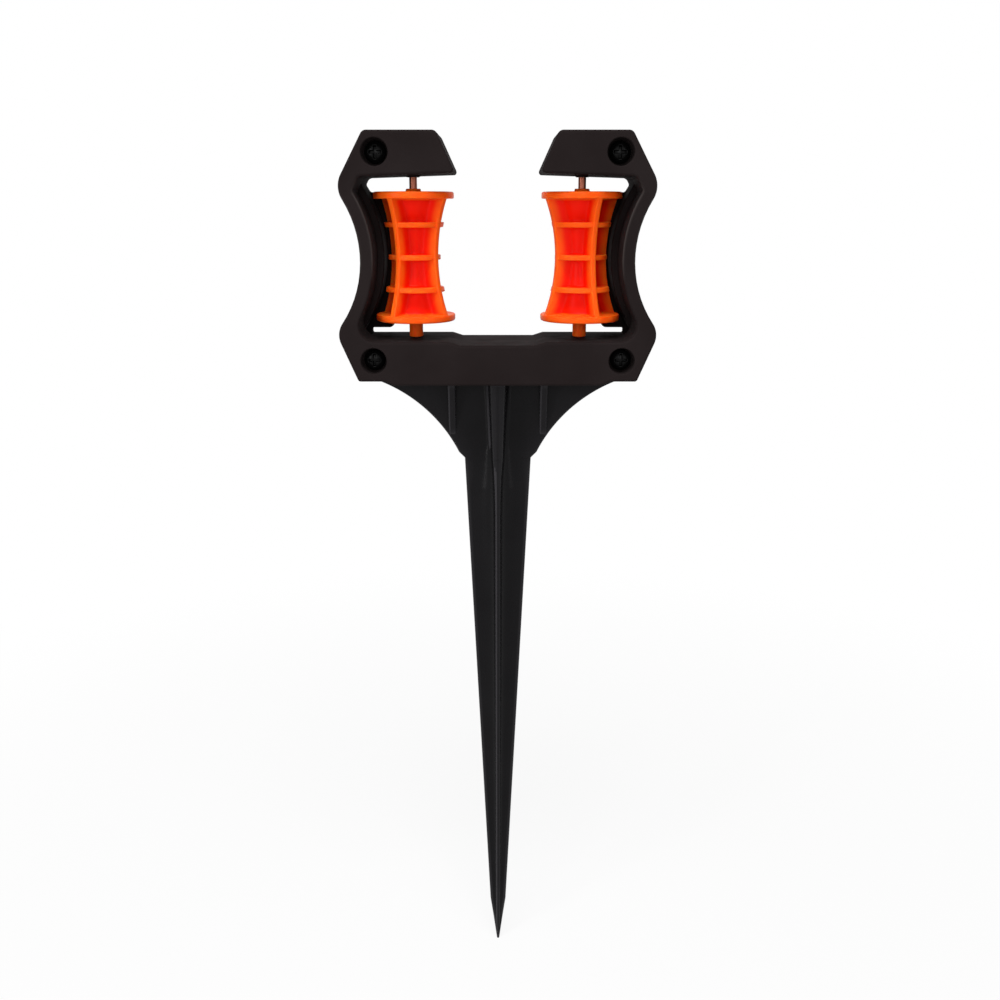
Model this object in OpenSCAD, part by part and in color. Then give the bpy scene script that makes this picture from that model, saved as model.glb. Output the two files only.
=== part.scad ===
// Hose guide stake: two hourglass rollers in a screwed two-part head, on a ground spike.
// Millimetres. +Z is up, -Y is the front face, and the origin is on the spike's axis at the
// soil line, where the gussets meet the spike.

/* [Rollers] */
// Height of a roller over its two flanges
roller_h = 49; // [40:0.5:60]
// Diameter of the end flanges
flange_d = 31.2; // [26:0.2:36]
// Diameter over the fins at the middle of the hourglass
waist_d = 21.7; // [17:0.1:24]
// Thickness of the end flanges
flange_t = 2.6; // [1.8:0.1:4]
// How far the flanges stand out beyond the ends of the fins
flange_lip = 0.4; // [0.2:0.1:1]
// Thickness of the three rings between the flanges
ring_t = 1.9; // [1.2:0.1:3]
// How far the rings stop short of the fins' outer edges
ring_set = 0.7; // [0.3:0.1:1.5]
// Thickness of the four upright fins
fin_t = 2.3; // [1.4:0.1:3.4]
// Depth of the pockets between the fins, from their outer edges to the hub
pocket_depth = 6.2; // [3:0.1:7]
// Clear width between the flanges of the two rollers
channel_w = 33.8; // [28:0.2:45]
// Height of the boss that carries the roller on its seat
foot_h = 6.4; // [3:0.1:9]
// Diameter of that boss
foot_d = 5.4; // [4.6:0.1:8]
// Height of the boss on the upper flange
cap_h = 1.1; // [0.5:0.1:2.5]
// Diameter of the boss on the upper flange
cap_d = 5.8; // [4.6:0.1:8]
// Clear height above the upper flange
top_gap = 6.2; // [4:0.1:9]
// How far the fins are turned from the front, left roller and right roller, in degrees
fin_turn = [57, 23]; // [0:1:90]

/* [Axles] */
// Diameter of the steel axle pins
axle_d = 3; // [2.4:0.1:4]
// Length of pin held in the cross bar, and in each arm
axle_seat = 8.5; // [6:0.1:10]

/* [Head] */
// Depth of the head from front to back
frame_depth = 36; // [30:0.5:44]
// Height of the cross bar's underside above the soil line
head_rise = 31.5; // [24:0.5:40]
// Height of the cross bar at the saddle between the rollers
bar_h = 15.6; // [14:0.1:20]
// Height of the two seats under the rollers above the saddle
seat_rise = 1.3; // [0.5:0.1:3]
// Width of the flat saddle between the seats
saddle_w = 29; // [22:0.5:32]
// Length of the slope from the saddle up to each seat
seat_ramp = 4; // [2:0.1:6]
// Height of the two arms above the mouth
arm_h = 15.3; // [13:0.1:20]
// Thickness of the curved side walls in the front half
side_wall = 4.9; // [3.5:0.1:7]
// Clear width of the mouth between the arm tips
mouth_w = 32.8; // [26:0.2:36]
// Width of the mouth at the top of the head
mouth_top_w = 43; // [36:0.5:50]
// Height of the blunt end of each arm
tip_h = 3; // [1.5:0.1:5]
// How far the flat top reaches outside the flanges
crown_out = 0.9; // [0:0.1:4]
// How far the cross bar's lower corners reach outside the flanges
base_out = 5; // [2:0.1:8]
// How far those corners lie above the middle of the bar's underside
base_rise = 1.6; // [0.5:0.1:3]
// Width of the deepest part of the underside
base_w = 80; // [70:0.5:84]
// Length of the slope from there up to the corners
base_ramp = 4; // [2:0.1:6]
// Sideways run of the sloping flanks for each millimetre of height
flank_slope = 0.48; // [0.35:0.01:0.6]
// Gap between the rollers' waists and the front half's side walls
waist_gap = 3.55; // [2:0.05:7]
// Gap between the rollers' waists and the rear half's thicker side walls
rear_gap = 1.05; // [0.6:0.05:2]
// Gap between the rollers' flanges and the shields behind their outer sides
shield_gap = 1.5; // [1:0.1:3]
// How far the shields reach in behind the rollers' waists
shield_lap = 0.9; // [0.2:0.1:3]
// Height of the shields' lower ends above the rollers' lower flanges
shield_up = 2; // [1:0.1:10]
// How far the shields' feet reach in from the head's lower corners
shield_foot = 3.4; // [1:0.1:5]
// Radius of the hollow curve down each side
waist_r = 42; // [38:0.5:60]
// Radius inside the shoulders of the side walls
shoulder_in_r = 1.6; // [0.8:0.1:3]
// Radius of the outer corners seen from the front
corner_r = 2.2; // [1:0.1:3]
// Wall left round the hollows inside the head
shell = 2.6; // [2:0.1:3.4]
// Diameter of the lips round the axles under the arms
lip_d = 5.4; // [4.6:0.1:7]
// Height of those lips
lip_h = 0.9; // [0.4:0.1:1.5]

/* [Screws] */
// Diameter of the screw shanks
screw_d = 3.5; // [3:0.1:4.2]
// Diameter of the screw heads
screw_head_d = 8.2; // [6.5:0.1:9]
// Height of the screw heads
screw_head_h = 2.7; // [2:0.1:3.4]
// Diameter of the holes that sink the heads
sink_d = 10; // [9.4:0.1:11]
// Depth of the holes that sink the heads
sink_depth = 5.2; // [4:0.1:7]
// Distance of the upper screws in from the head's top corners
upper_screw_in = 3.8; // [3:0.1:6]
// Distance of the lower screws in from the cross bar's lower corners
lower_screw_in = 5.3; // [4:0.1:7]
// Height of the lower screws above the cross bar's underside
lower_screw_rise = 9.6; // [8.5:0.1:10.5]
// Plastic left behind the screw points
screw_cover = 6.5; // [4:0.1:9]

/* [Stake] */
// Length of the spike below the soil line
spike_len = 235; // [160:1:300]
// Width of the spike at the soil line
spike_w = 27.2; // [20:0.2:34]
// Depth of the spike at the soil line
spike_depth = 22; // [16:0.2:28]
// Width of the spike where its point begins
point_w = 7; // [5.5:0.1:10]
// Length of the point
point_len = 23; // [15:0.5:35]
// Thickness of the web and of the spike's side blades
web_t = 5; // [4:0.1:7]
// Thickness of the spike's front and back blades
keel_t = 4.2; // [3:0.1:6]
// Thickness to which those blades spread under the bar
keel_top_t = 6.8; // [5:0.1:10]
// How far the front and back blades stop short of the head's faces under the bar
keel_set = 2.5; // [1:0.1:6]
// Width of the gussets where they enter the cross bar
gusset_w = 98.8; // [90:0.2:100]
// Radius of the hollow edge of the gussets
gusset_r = 60; // [48:0.5:70]
// Depth below the soil line at which the gussets run out
gusset_foot = 0.9; // [0.5:0.1:6]
// Width of the small slanted ledge at the foot of each gusset
gusset_step = 2.4; // [1:0.1:4]
// Distance of the two braces from the middle
brace_x = 18.4; // [14:0.1:24]
// Thickness of the braces
brace_t = 3; // [2:0.1:4]
// How far the braces stand out from the web under the bar
brace_out = 6; // [3:0.1:10]
// Plastic round the lower screws in the web's ears
ear_wall = 2.8; // [2:0.1:3]

/* [Clearances] */
// Radial clearance of a roller on its axle
run_clear = 0.06; // [0.02:0.01:0.1]
// Clearance between pieces that are fixed to each other
fit_clear = 0.05; // [0.02:0.01:0.1]
// Gap under a roller's foot, and beyond the ends of the pins and screws
end_clear = 0.2; // [0.1:0.05:0.4]

/* [Hidden] */
$fn = 96;

half_depth = frame_depth / 2;
axle_x = (channel_w + flange_d) / 2;

// Heights, from the cross bar upwards
bar_base = head_rise;
saddle_z = bar_base + bar_h;
seat_z = saddle_z + seat_rise;
roller_base = seat_z + end_clear + foot_h;
roller_z = roller_base + roller_h / 2;
arm_base = roller_base + roller_h + top_gap;
head_top = arm_base + arm_h;
axle_low = seat_z - axle_seat;
axle_high = arm_base + axle_seat;

// Half widths of the head
crown_x = axle_x + flange_d / 2 + crown_out;
base_x = axle_x + flange_d / 2 + base_out;
base_z = bar_base + base_rise;
waist_x = axle_x + waist_d / 2 + waist_gap + side_wall;
mouth_x = mouth_w / 2;
mouth_top_x = mouth_top_w / 2;

// The hollow side curve, and the shoulders that blend it into the flanks
shoulder_r = shoulder_in_r + side_wall;
rear_wall = side_wall + waist_gap - rear_gap;
waist_c = [waist_x + waist_r, roller_z];
flank_len = norm([flank_slope, 1]);
upper_run = [flank_slope, -1] / flank_len;
upper_in = [-1, -flank_slope] / flank_len;
lower_run = [flank_slope, 1] / flank_len;
lower_in = [-1, flank_slope] / flank_len;
flank_turn = atan(flank_slope);
upper_shoulder = shoulder_centre([crown_x, head_top], upper_run, upper_in);
lower_shoulder = shoulder_centre([base_x, base_z], lower_run, lower_in);
upper_turn = heading(waist_c - upper_shoulder);
lower_turn = heading(waist_c - lower_shoulder);
guard_reach = 6;

// Shields: far enough back that the flanges turn clear of their inner edges
shield_x = axle_x + waist_d / 2 - shield_lap;
shield_y = sqrt(pow(flange_d / 2 + shield_gap, 2) - pow(waist_d / 2 - shield_lap, 2));
shield_low = roller_base + shield_up;
shield_high = roller_base + roller_h;

// Screws
upper_screw = [crown_x - upper_screw_in, arm_base + arm_h / 2];
lower_screw = [base_x - lower_screw_in, bar_base + lower_screw_rise];
head_seat_y = sink_depth - half_depth;
screw_end_y = half_depth - screw_cover;

// Stake
tongue_gap = 2.4;
tongue_top = axle_low - tongue_gap;
point_z = point_len - spike_len;
tip_r = 0.5;
keel_y = half_depth - keel_set;
gusset_top = [gusset_w / 2, bar_base];
gusset_end = [spike_half(-gusset_foot) + gusset_step, gusset_step - gusset_foot];
gusset_c = outer_centre(gusset_top, gusset_end, gusset_r);

black = [0.15, 0.13, 0.13];
orange = [0.95, 0.36, 0.08];
steel = [0.5, 0.36, 0.3];
dark_steel = [0.09, 0.09, 0.1];

// Points on an arc round c from angle a to angle b
function arc(c, r, a, b, steps = 12) =
    [for (i = [0 : steps]) let (t = a + (b - a) * i / steps) c + r * [cos(t), sin(t)]];

// Angle of a direction
function heading(v) = atan2(v[1], v[0]);

// An angle brought to within half a turn of a reference
function near_angle(a, ref) = a - 360 * round((a - ref) / 360);

// Points that round the corner p between the neighbours a and b
function rounded(a, p, b, r) =
    let (
        u = (a - p) / norm(a - p),
        v = (b - p) / norm(b - p),
        half = acos(u * v) / 2,
        c = p + (u + v) / norm(u + v) * r / sin(half),
        from = heading(p + u * r / tan(half) - c),
        to = near_angle(heading(p + v * r / tan(half) - c), from)
    )
    arc(c, r, from, to, 6);

function mirrored(path) = [for (i = [len(path) - 1 : -1 : 0]) [-path[i][0], path[i][1]]];

// Centre of the shoulder that touches a flank through p and the hollow side curve
function shoulder_centre(p, run, inward) =
    let (
        start = p + shoulder_r * inward,
        w = start - waist_c,
        b = run * w,
        c = w * w - pow(waist_r + shoulder_r, 2)
    )
    start + (-b - sqrt(b * b - c)) * run;

// The side of the head from its upper flank to its lower one, set inwards by a wall
function side_path(inset) =
    let (r = shoulder_r - inset)
    concat(
        arc(upper_shoulder, r, flank_turn, upper_turn, 10),
        arc(waist_c, waist_r + inset, 180 + upper_turn, 180 + lower_turn, 24),
        arc(lower_shoulder, r, lower_turn, -flank_turn, 10)
    );

// Where a flank, set inwards by the side wall, crosses a height
function flank_cross(p, inward, z) =
    let (q = p + side_wall * inward) [q[0] + flank_slope * abs(z - q[1]), z];

// Half width of the spike's side blades at a height below the soil line
function spike_half(z) = (spike_w + (point_w - spike_w) * z / point_z) / 2;

// Centre, on the outer side, of the arc of radius r from a down to b
function outer_centre(a, b, r) =
    let (m = (a + b) / 2, d = b - a, h = norm(d) / 2, side = [-d[1], d[0]] / norm(d))
    m + side * sqrt(r * r - h * h);

// Height of the gusset's hollow edge at a distance from the middle
function gusset_z(x) = gusset_c[1] + sqrt(gusset_r * gusset_r - pow(x - gusset_c[0], 2));

// A shape drawn in X and Z, given a depth from y0 to y1
module upright(y0, y1) {
    translate([0, y1, 0]) rotate([90, 0, 0]) linear_extrude(y1 - y0) children();
}

// A shape drawn in Y and Z, given a thickness about x
module crosswise(x, t) {
    translate([x - t / 2, 0, 0]) rotate([90, 0, 90]) linear_extrude(t) children();
}

// A round bar or hole along Y at a place in X and Z
module along_y(at, d, y0, y1) {
    translate([at[0], y0, at[1]]) rotate([-90, 0, 0]) cylinder(d = d, h = y1 - y0);
}

module both_sides() {
    children();
    mirror([1, 0, 0]) children();
}

// The C-shaped head seen from the front, open at the top
module head_outline() {
    tip = [mouth_x, arm_base];
    tip_top = [mouth_x, arm_base + tip_h];
    mouth_edge = [mouth_top_x, head_top];
    crown = [crown_x, head_top];
    base = [base_x, base_z];
    ramp_top = [base_w / 2 + base_ramp, base_z];
    ramp_foot = [base_w / 2, bar_base];
    outer_side = side_path(0);
    inner_side = side_path(side_wall);
    upper_corner = flank_cross(crown, upper_in, arm_base);
    lower_corner = flank_cross(base, lower_in, seat_z);
    seat_edge = [saddle_w / 2 + seat_ramp, seat_z];
    last = len(inner_side) - 1;
    outer = concat(
        rounded(upper_corner, tip, tip_top, corner_r / 2),
        rounded(tip, tip_top, mouth_edge, corner_r / 2),
        rounded(tip_top, mouth_edge, crown, corner_r),
        rounded(mouth_edge, crown, outer_side[0], corner_r),
        outer_side,
        rounded(outer_side[last], base, ramp_top, corner_r / 2),
        [ramp_top, ramp_foot]
    );
    inner = concat(
        [[saddle_w / 2, saddle_z]],
        [seat_edge],
        rounded(seat_edge, lower_corner, inner_side[last], corner_r),
        [for (i = [last : -1 : 0]) inner_side[i]],
        rounded(inner_side[0], upper_corner, tip, corner_r)
    );
    polygon(concat(outer, mirrored(outer), mirrored(inner), inner));
}

// The thicker side wall of the rear half, which runs out into the flanks at both ends
module guard_outline() {
    from = 180 + lower_turn + guard_reach;
    to = 180 + upper_turn - guard_reach;
    polygon(concat(side_path(side_wall / 2), arc(waist_c, waist_r + rear_wall, from, to, 24)));
}

// A shield behind the outer side of a roller, which grows out of the rear half's side wall and
// stands on the cross bar with a narrow foot
module shield_outline() {
    r = waist_r + side_wall / 2;
    corner = flank_cross([base_x, base_z], lower_in, seat_z);
    high = [shield_x, shield_high];
    low = [shield_x, shield_low];
    knee = [corner[0] - shield_foot, shield_low];
    foot = [corner[0] - shield_foot, seat_z - 1];
    wall = concat(
        arc(waist_c, r, 180 - asin((shield_high - roller_z) / r), 180 + lower_turn, 24),
        arc(lower_shoulder, shoulder_r - side_wall / 2, lower_turn, -flank_turn, 10)
    );
    polygon(concat(
        [foot],
        rounded(foot, knee, low, corner_r),
        rounded(knee, low, high, corner_r),
        rounded(low, high, wall[0], corner_r),
        wall
    ));
}

// The web's strip and ears that lie inside the cross bar, grown by a clearance
module tongue_outline(grow) {
    translate([-gusset_w / 2 - grow, bar_base - 1])
        square([gusset_w + 2 * grow, tongue_top - bar_base + 1 + grow]);
    for (x = [-lower_screw[0], lower_screw[0]])
        translate([x, lower_screw[1]]) circle(d = screw_d + 2 * ear_wall + 2 * grow);
}

// Hollow inside one arm, between its tip and the axle's socket
module arm_core() {
    lean = (mouth_top_x - mouth_x) / (arm_h - tip_h);
    low = arm_base + shell;
    high = head_top - shell;
    wall = shell * norm([1, lean]);
    near = mouth_x + wall - lean * (arm_base + tip_h);
    far = axle_x - axle_d / 2 - shell;
    polygon([[near + lean * low, low], [far, low], [far, high], [near + lean * high, high]]);
}

// Hollow inside the cross bar, between the axle sockets
module bar_core() {
    x = axle_x - axle_d / 2 - shell;
    translate([-x, bar_base + shell]) square([2 * x, bar_h - 2 * shell]);
}

// Everything that is cut out of both halves alike
module head_hollows() {
    core_y = half_depth - shell;
    upright(-core_y, core_y) bar_core();
    both_sides() upright(-core_y, core_y) arm_core();
    web_y = web_t / 2 + fit_clear;
    upright(-web_y, web_y) tongue_outline(fit_clear);
    for (x = [-axle_x, axle_x])
        translate([x, 0, axle_low - end_clear])
            cylinder(d = axle_d + 2 * fit_clear, h = axle_high - axle_low + 2 * end_clear);
}

// One half of the head, from y0 to y1, with its screw holes as children
module frame_half(y0, y1, guarded = false) {
    difference() {
        union() {
            upright(y0, y1) head_outline();
            if (guarded) upright(y0, y1) both_sides() guard_outline();
            if (guarded) upright(shield_y, y1) both_sides() shield_outline();
            intersection() {
                both_sides() translate([axle_x, 0, arm_base - lip_h])
                    cylinder(d = lip_d, h = lip_h + 1);
                translate([-crown_x, y0, arm_base - lip_h])
                    cube([2 * crown_x, y1 - y0, lip_h + 1]);
            }
        }
        head_hollows();
        both_sides() for (at = [upper_screw, lower_screw]) translate([at[0], 0, at[1]]) children();
    }
}

module front_frame() {
    color(black) frame_half(-half_depth, 0) {
        along_y([0, 0], screw_d + 2 * fit_clear, -half_depth, 1);
        along_y([0, 0], sink_d, -half_depth - 1, head_seat_y);
    }
}

module rear_frame() {
    color(black) frame_half(0, half_depth, guarded = true)
        along_y([0, 0], screw_d + 2 * fit_clear, -1, screw_end_y + end_clear);
}

// Web, gussets and side blades, as one flat plate
module web_plate() {
    edge = heading(gusset_top - gusset_c);
    foot = heading(gusset_end - gusset_c);
    side = concat(
        [[gusset_w / 2, tongue_top]],
        arc(gusset_c, gusset_r, edge, near_angle(foot, edge), 24),
        [[spike_half(-gusset_foot), -gusset_foot], [spike_half(-spike_len), -spike_len]]
    );
    difference() {
        union() {
            upright(-web_t / 2, web_t / 2) polygon(concat(side, mirrored(side)));
            upright(-web_t / 2, web_t / 2) for (x = [-lower_screw[0], lower_screw[0]])
                translate([x, lower_screw[1]]) circle(d = screw_d + 2 * ear_wall);
        }
        both_sides() along_y(lower_screw, screw_d + 2 * fit_clear, -web_t, web_t);
    }
}

// Front and back blades of the spike, which deepen and spread into a keel under the cross bar
module keel() {
    top = bar_base - fit_clear;
    point_y = point_w / 2;
    wide = keel_top_t / 2;
    thin = keel_t / 2;
    intersection() {
        crosswise(0, keel_top_t) polygon([
            [-keel_y, top], [keel_y, top], [spike_depth / 2, 0], [point_y, point_z],
            [tip_r, -spike_len], [-tip_r, -spike_len], [-point_y, point_z], [-spike_depth / 2, 0]
        ]);
        upright(-half_depth, half_depth) polygon([
            [-wide, top], [wide, top], [thin, 0], [thin, -spike_len], [-thin, -spike_len], [-thin, 0]
        ]);
    }
}

// Upright brace between the bar and the gusset's edge, on both faces of the web
module brace() {
    top = bar_base - fit_clear;
    out = web_t / 2 + brace_out;
    low = gusset_z(brace_x + brace_t / 2);
    crosswise(brace_x, brace_t)
        polygon([[-out, top], [out, top], [web_t / 2, low], [-web_t / 2, low]]);
}

// Room that the spike may fill: a cone at the point, and anything above it
module point_limit() {
    grow = (point_w / 2 - tip_r) / point_len;
    wide = spike_w / 2 + spike_depth / 2;
    room = gusset_w;
    high = (wide - tip_r) / grow - spike_len;
    rotate_extrude() polygon([
        [0, -spike_len], [tip_r, -spike_len], [wide, high], [room, high],
        [room, max(high, 0) + seat_z], [0, max(high, 0) + seat_z]
    ]);
}

module stake() {
    color(black) {
        intersection() {
            union() {
                web_plate();
                keel();
                both_sides() brace();
            }
            point_limit();
        }
    }
}

module axle(x) {
    color(steel) translate([x, 0, axle_low]) cylinder(d = axle_d, h = axle_high - axle_low);
}

// Everything inside the hourglass curve, set inwards, with both ends sunk a little into the flanges
module hourglass(inset) {
    rise = (flange_d - waist_d) / 2 - flange_lip;
    span = roller_h / 2 - flange_t;
    r = (span * span + rise * rise) / (2 * rise);
    end = span + flange_lip;
    steps = 20;
    side = [
        for (i = [0 : steps]) let (z = end * (2 * i / steps - 1))
            [waist_d / 2 + r - sqrt(pow(r + inset, 2) - z * z), z]
    ];
    rotate_extrude() polygon(concat([[0, -end]], side, [[0, end]]));
}

// Flanges, fins and hub of a roller
module spool(turn) {
    flange_z = (roller_h - flange_t) / 2;
    for (z = [-flange_z, flange_z])
        translate([0, 0, z]) cylinder(d = flange_d, h = flange_t, center = true);
    intersection() {
        hourglass(0);
        for (a = [0, 90]) rotate(turn + a) cube([fin_t, flange_d, roller_h], center = true);
    }
    hourglass(pocket_depth);
}

module roller(x, turn) {
    pitch = roller_h / 4;
    color(orange) translate([x, 0, roller_z]) difference() {
        union() {
            spool(turn);
            intersection() {
                hourglass(ring_set);
                for (z = [-pitch, 0, pitch])
                    translate([0, 0, z]) cylinder(d = flange_d, h = ring_t, center = true);
            }
            translate([0, 0, -roller_h / 2 - foot_h]) cylinder(d = foot_d, h = foot_h + 1);
            translate([0, 0, roller_h / 2 - 1]) cylinder(d = cap_d, h = cap_h + 1);
        }
        cylinder(d = axle_d + 2 * run_clear, h = 2 * roller_h, center = true);
    }
}

// Pan-head screw with a cross recess, pointing back from the front face
module screw(at) {
    dome_r = (pow(screw_head_d / 2, 2) + screw_head_h * screw_head_h) / (2 * screw_head_h);
    slot_w = screw_head_d / 7;
    slot_l = screw_head_d * 0.58;
    slot_depth = screw_head_h * 0.55;
    color(dark_steel) translate([at[0], 0, at[1]]) {
        along_y([0, 0], screw_d, head_seat_y, screw_end_y);
        difference() {
            intersection() {
                along_y([0, 0], screw_head_d, head_seat_y - screw_head_h, head_seat_y);
                translate([0, head_seat_y - screw_head_h + dome_r, 0]) sphere(dome_r);
            }
            for (a = [0, 90]) translate([0, head_seat_y - screw_head_h, 0]) rotate([0, a, 0])
                cube([slot_l, 2 * slot_depth, slot_w], center = true);
        }
    }
}

front_frame();
rear_frame();
stake();
axle(-axle_x);  // left_axle
axle(axle_x);  // right_axle
roller(-axle_x, fin_turn[0]);  // left_roller
roller(axle_x, fin_turn[1]);  // right_roller
screw([-upper_screw[0], upper_screw[1]]);  // screw_upper_left
screw(upper_screw);  // screw_upper_right
screw([-lower_screw[0], lower_screw[1]]);  // screw_lower_left
screw(lower_screw);  // screw_lower_right
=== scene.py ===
import bmesh
import bpy
import numpy as np
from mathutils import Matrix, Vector, geometry


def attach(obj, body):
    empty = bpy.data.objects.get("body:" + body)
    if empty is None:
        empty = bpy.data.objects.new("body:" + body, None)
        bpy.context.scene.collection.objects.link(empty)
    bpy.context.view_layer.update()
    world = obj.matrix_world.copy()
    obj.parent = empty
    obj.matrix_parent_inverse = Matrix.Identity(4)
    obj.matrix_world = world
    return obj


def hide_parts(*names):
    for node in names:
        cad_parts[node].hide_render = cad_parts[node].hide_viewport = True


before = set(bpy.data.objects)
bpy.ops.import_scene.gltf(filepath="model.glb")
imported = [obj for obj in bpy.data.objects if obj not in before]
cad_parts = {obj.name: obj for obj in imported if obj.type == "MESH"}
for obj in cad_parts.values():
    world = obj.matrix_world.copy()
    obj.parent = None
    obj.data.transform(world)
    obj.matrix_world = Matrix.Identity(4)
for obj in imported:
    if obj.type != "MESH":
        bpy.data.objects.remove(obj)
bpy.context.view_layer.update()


# Stake: one black moulding in tough plastic. Its spike has a cross-shaped section that tapers to a
# point, and under the head its web spreads into two hollow-edged gussets with a keel and two braces
# on each face. The strip at the top of the web is clamped between the two halves of the head.
MM = 0.001
bar_base = 31.5
under_bar = 31.45
tongue_top = 37.5
spike_len = 235.0
spike_w = 27.2
spike_depth = 22.0
point_w = 7.0
point_len = 23.0
tip_r = 0.5
web_t = 5.0
keel_t = 4.2
keel_top_t = 6.8
keel_depth = 31.0
gusset_w = 98.8
gusset_r = 60.0
gusset_foot = 0.9
gusset_step = 2.4
brace_x = 18.4
brace_t = 3.0
brace_out = 6.0
brace_start = 0.2
brace_bite = 1.6
brace_edge_r = 0.7
brace_rows = 14
blade_r = 1.3
blade_round = 0.8
keel_round = 0.92
web_in_point = 0.72
keel_in_point = 0.62
keel_levels = [-18.0, -6.0, 0.0, bar_base]
keel_half = np.array([0.5 * keel_t, 0.75 * keel_t, keel_t, keel_top_t]) / 2
soft_levels = [-16.0, 4.0]
soft_fill = 0.95
root_fill = 0.6
root_r = 3.2
thinnest = 0.02
point_z = point_len - spike_len


def skin(rows, cols, close_rows=False, close_cols=False):
    """Quads between neighbouring points of a grid numbered row by row. A closed direction joins its
    last line to its first."""
    index = np.arange(rows * cols).reshape(rows, cols)
    if close_rows:
        index = np.vstack([index, index[:1]])
    if close_cols:
        index = np.hstack([index, index[:, :1]])
    corners = [index[:-1, :-1], index[:-1, 1:], index[1:, 1:], index[1:, :-1]]
    return np.stack(corners, axis=-1).reshape(-1, 4)


def put_together(name, shells, material):
    """One piece from several shells, each an array of points in millimetres and groups of faces with
    a smooth flag: points are stacked, face numbers move up by the points before, and points that
    coincide are welded."""
    points = np.vstack([shell[0] for shell in shells]) * MM
    starts = np.cumsum([0] + [len(shell[0]) for shell in shells])
    faces = []
    smooth = []
    for (_, groups), start in zip(shells, starts):
        for polygons, soft in groups:
            faces += (np.asarray(polygons) + start).tolist()
            smooth += [soft] * len(polygons)
    mesh = bpy.data.meshes.new(name)
    mesh.from_pydata(points.tolist(), [], faces)
    mesh.polygons.foreach_set("use_smooth", smooth)
    welded = bmesh.new()
    welded.from_mesh(mesh)
    bmesh.ops.remove_doubles(welded, verts=welded.verts, dist=1e-7)
    welded.to_mesh(mesh)
    welded.free()
    mesh.materials.append(material)
    piece = bpy.data.objects.new(name, mesh)
    bpy.context.scene.collection.objects.link(piece)
    even = piece.modifiers.new("even_normals", "WEIGHTED_NORMAL")
    even.keep_sharp = True
    return piece


def moulded_plastic(name, deep, pale, specular, rough, grain):
    """Moulded plastic on object coordinates: a slow noise drifts the colour between two tones, a
    middle noise moves the roughness between its two values, and a fine noise lifts the grain."""
    material = bpy.data.materials.new(name)
    material.use_nodes = True
    nodes = material.node_tree.nodes
    links = material.node_tree.links
    shader = nodes["Principled BSDF"]
    place = nodes.new("ShaderNodeTexCoord")
    drift = nodes.new("ShaderNodeTexNoise")
    drift.inputs["Scale"].default_value = 38.0
    drift.inputs["Detail"].default_value = 3.0
    tones = nodes.new("ShaderNodeValToRGB")
    tones.color_ramp.elements[0].position = 0.3
    tones.color_ramp.elements[0].color = (*deep, 1.0)
    tones.color_ramp.elements[1].position = 0.7
    tones.color_ramp.elements[1].color = (*pale, 1.0)
    wear = nodes.new("ShaderNodeTexNoise")
    wear.inputs["Scale"].default_value = 160.0
    wear.inputs["Detail"].default_value = 4.0
    gloss = nodes.new("ShaderNodeMapRange")
    gloss.inputs["From Min"].default_value = 0.3
    gloss.inputs["From Max"].default_value = 0.7
    gloss.inputs["To Min"].default_value = rough[0]
    gloss.inputs["To Max"].default_value = rough[1]
    pores = nodes.new("ShaderNodeTexNoise")
    pores.inputs["Scale"].default_value = 2600.0
    pores.inputs["Detail"].default_value = 2.0
    bump = nodes.new("ShaderNodeBump")
    bump.inputs["Strength"].default_value = grain
    bump.inputs["Distance"].default_value = 0.0002
    for noise in (drift, wear, pores):
        links.new(place.outputs["Object"], noise.inputs["Vector"])
    links.new(drift.outputs["Fac"], tones.inputs["Fac"])
    links.new(tones.outputs["Color"], shader.inputs["Base Color"])
    links.new(wear.outputs["Fac"], gloss.inputs["Value"])
    links.new(gloss.outputs["Result"], shader.inputs["Roughness"])
    links.new(pores.outputs["Fac"], bump.inputs["Height"])
    links.new(bump.outputs["Normal"], shader.inputs["Normal"])
    shader.inputs["Specular IOR Level"].default_value = specular
    return material


def blend_tone(material, share, tone):
    """Mixes a tone into the colour of a material by a share, which is a socket of its nodes."""
    tree = material.node_tree
    colour = tree.nodes["Principled BSDF"].inputs["Base Color"]
    mix = tree.nodes.new("ShaderNodeMix")
    mix.data_type = "RGBA"
    mix.inputs[7].default_value = (*tone, 1.0)
    tree.links.new(share, mix.inputs[0])
    tree.links.new(colour.links[0].from_socket, mix.inputs[6])
    tree.links.new(mix.outputs[2], colour)


def paint_edge_highlight(material, tone, start, end):
    """Paints a highlight: the colour goes to a lighter tone along ridges and outer edges, and its share
    rises from none to all between two values of how far the surface bulges."""
    tree = material.node_tree
    surface = tree.nodes.new("ShaderNodeNewGeometry")
    share = tree.nodes.new("ShaderNodeMapRange")
    share.inputs["From Min"].default_value = start
    share.inputs["From Max"].default_value = end
    tree.links.new(surface.outputs["Pointiness"], share.inputs["Value"])
    blend_tone(material, share.outputs["Result"], tone)


def arc_rows(centre_x, centre_y, radius_x, radius_y, start, end, steps):
    """One elliptic arc for each level, as rows: the centre plus both radii along the angle."""
    turn = np.radians(np.linspace(start, end, steps))[None, :]
    x = centre_x[:, None] + radius_x[:, None] * np.cos(turn)
    y = centre_y[:, None] + radius_y[:, None] * np.sin(turn)
    return x, y


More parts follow.
